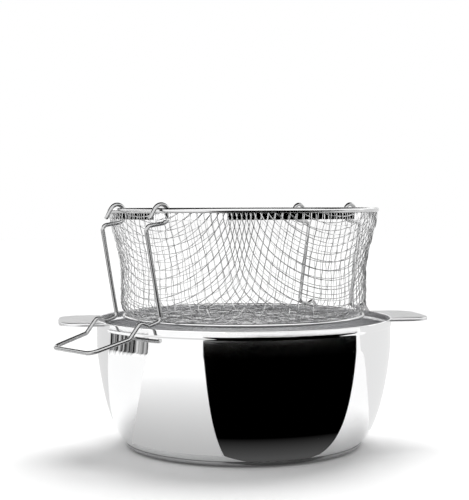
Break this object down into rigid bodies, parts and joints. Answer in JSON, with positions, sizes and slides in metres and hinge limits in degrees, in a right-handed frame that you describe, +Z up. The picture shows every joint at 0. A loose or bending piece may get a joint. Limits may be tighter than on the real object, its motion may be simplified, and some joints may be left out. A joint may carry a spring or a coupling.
{
  "type": "deep fryer",
  "caption": "Stovetop deep fryer: a wide polished steel pot with two flat ears, and a wire-mesh basket with two swinging hooked wire handles, resting raised on the rim to drain.",
  "frame": {"origin": "centre of the pot's underside, on the surface it stands on", "axes": "+Z up, +X along the line through the two ears, towards the right ear"},
  "size_m": [0.3057, 0.2428, 0.1989],
  "materials": {
    "mirror_steel": "mirror-polished stainless steel",
    "satin_steel": "satin stainless steel",
    "base_steel": "fine-turned magnetic steel",
    "core_aluminium": "plain aluminium",
    "bright_wire": "bright drawn wire",
    "mesh_wire": "bright woven wire"
  },
  "bodies": {
    "pot": {"pot_shell": "mirror_steel", "base_cap": "base_steel", "base_core": "core_aluminium", "right_ear": "satin_steel", "left_ear": "satin_steel"},
    "basket": {"basket_mesh": "mesh_wire", "rim_band": "mirror_steel", "rim_bead": "bright_wire", "base_ring": "bright_wire"},
    "left_handle": {"left_basket_handle": "bright_wire"},
    "right_handle": {"right_basket_handle": "bright_wire"}
  },
  "joints": [
    {"name": "basket_lift", "type": "slide", "parent": "pot", "child": "basket", "axis": [0, 0, 1], "range_m": [0, 0.12]},
    {"name": "left_handle_swing", "type": "hinge", "parent": "basket", "child": "left_handle", "pos_m": [-0.08956, -0.05435, 0.19015], "axis": [-0.5189, 0.8549, 0], "range_deg": [0, 180]},
    {"name": "right_handle_swing", "type": "hinge", "parent": "basket", "child": "right_handle", "pos_m": [0.08249, 0.06458, 0.19015], "axis": [0.6164, -0.7874, 0], "range_deg": [0, 180]}
  ]
}
